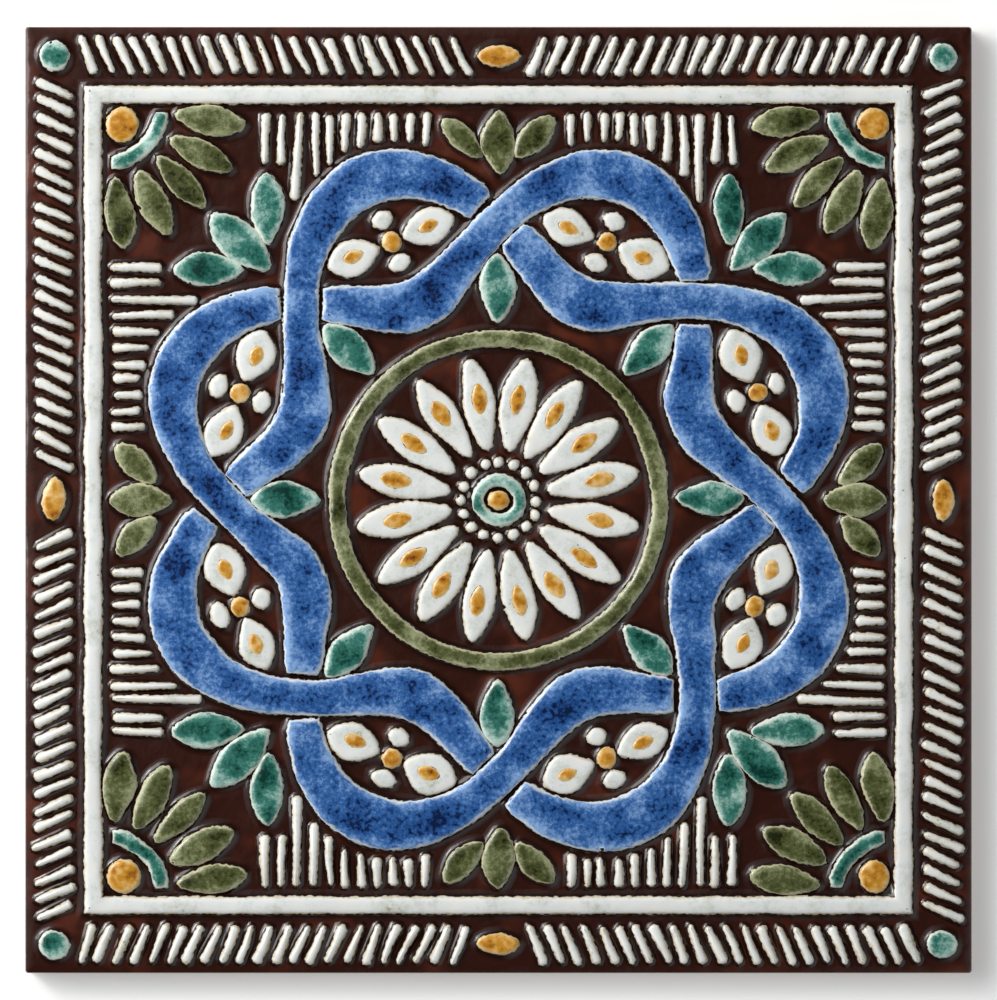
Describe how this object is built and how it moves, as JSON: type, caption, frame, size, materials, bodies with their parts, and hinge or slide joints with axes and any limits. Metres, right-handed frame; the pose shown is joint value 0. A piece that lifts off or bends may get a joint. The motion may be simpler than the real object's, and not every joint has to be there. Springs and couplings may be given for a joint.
{
  "type": "handmade relief tile",
  "caption": "Square pressed clay wall tile, flat on its back, with a raised and glazed ornament on its face.",
  "frame": {"origin": "middle of the flat back face, where the tile rests", "axes": "+Z out of the decorated face, +X and +Y along the sides, +Y up in the picture"},
  "size_m": [0.3, 0.3, 0.012],
  "materials": {
    "umber_glaze": "gloss",
    "cobalt_glaze": "gloss",
    "white_glaze": "gloss",
    "sage_glaze": "gloss",
    "teal_glaze": "gloss",
    "ochre_glaze": "gloss",
    "bare_clay": "matt"
  },
  "bodies": {
    "root": {"tile": "umber_glaze"}
  },
  "joints": []
}
